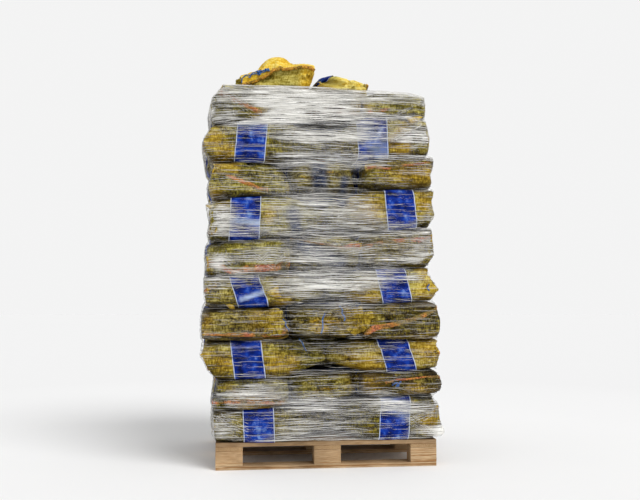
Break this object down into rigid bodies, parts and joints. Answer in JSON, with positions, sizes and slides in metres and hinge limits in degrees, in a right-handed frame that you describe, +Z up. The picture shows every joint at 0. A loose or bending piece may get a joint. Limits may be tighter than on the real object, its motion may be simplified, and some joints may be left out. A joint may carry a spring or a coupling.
{
  "type": "pallet of sacks",
  "caption": "Block pallet stacked with crossed layers of filled net sacks with plain label bands, wound in knitted clear net, with loose sacks lying on top.",
  "frame": {"origin": "on the floor under the middle of the pallet, on the underside of its middle board", "axes": "+X along the pallet's long side, to the right seen from the front; +Z up; the front, as pictured, faces -Y"},
  "size_m": [1.3475, 1.0935, 2.3],
  "materials": {
    "pallet_wood": "rough sawn pine",
    "sack_netting": "yellow woven tape netting over dull brown contents",
    "label_film": "blue band woven and coated, white edges",
    "tie_cord": "blue drawstring",
    "hem_cord": "orange sewn hem",
    "wrap_net": "knitted clear polyethylene net"
  },
  "bodies": {
    "root": {"deck": "pallet_wood", "loose_sack_left": "sack_netting", "loose_sack_right": "sack_netting", "net_wrap": "wrap_net", "sack_01_back_left": "sack_netting", "sack_01_back_middle": "sack_netting", "sack_01_back_right": "sack_netting", "sack_01_front_left": "sack_netting", "sack_01_front_right": "sack_netting", "sack_02_back_left": "sack_netting", "sack_02_back_right": "sack_netting", "sack_02_front_left": "sack_netting", "sack_02_front_middle": "sack_netting", "sack_02_front_right": "sack_netting", "sack_03_back_left": "sack_netting", "sack_03_back_middle": "sack_netting", "sack_03_back_right": "sack_netting", "sack_03_front_left": "sack_netting", "sack_03_front_right": "sack_netting", "sack_04_back_left": "sack_netting", "sack_04_back_right": "sack_netting", "sack_04_front_left": "sack_netting", "sack_04_front_middle": "sack_netting", "sack_04_front_right": "sack_netting", "sack_05_back_left": "sack_netting", "sack_05_back_middle": "sack_netting", "sack_05_back_right": "sack_netting", "sack_05_front_left": "sack_netting", "sack_05_front_right": "sack_netting", "sack_06_back_left": "sack_netting", "sack_06_back_right": "sack_netting", "sack_06_front_left": "sack_netting", "sack_06_front_middle": "sack_netting", "sack_06_front_right": "sack_netting", "sack_07_back_left": "sack_netting", "sack_07_back_middle": "sack_netting", "sack_07_back_right": "sack_netting", "sack_07_front_left": "sack_netting", "sack_07_front_right": "sack_netting", "sack_08_back_left": "sack_netting", "sack_08_back_right": "sack_netting", "sack_08_front_left": "sack_netting", "sack_08_front_middle": "sack_netting", "sack_08_front_right": "sack_netting", "sack_09_back_left": "sack_netting", "sack_09_back_middle": "sack_netting", "sack_09_back_right": "sack_netting", "sack_09_front_left": "sack_netting", "sack_09_front_right": "sack_netting", "sack_10_back_left": "sack_netting", "sack_10_back_right": "sack_netting", "sack_10_front_left": "sack_netting", "sack_10_front_middle": "sack_netting", "sack_10_front_right": "sack_netting", "skid_back": "pallet_wood", "skid_front": "pallet_wood", "skid_middle": "pallet_wood"}
  },
  "joints": []
}
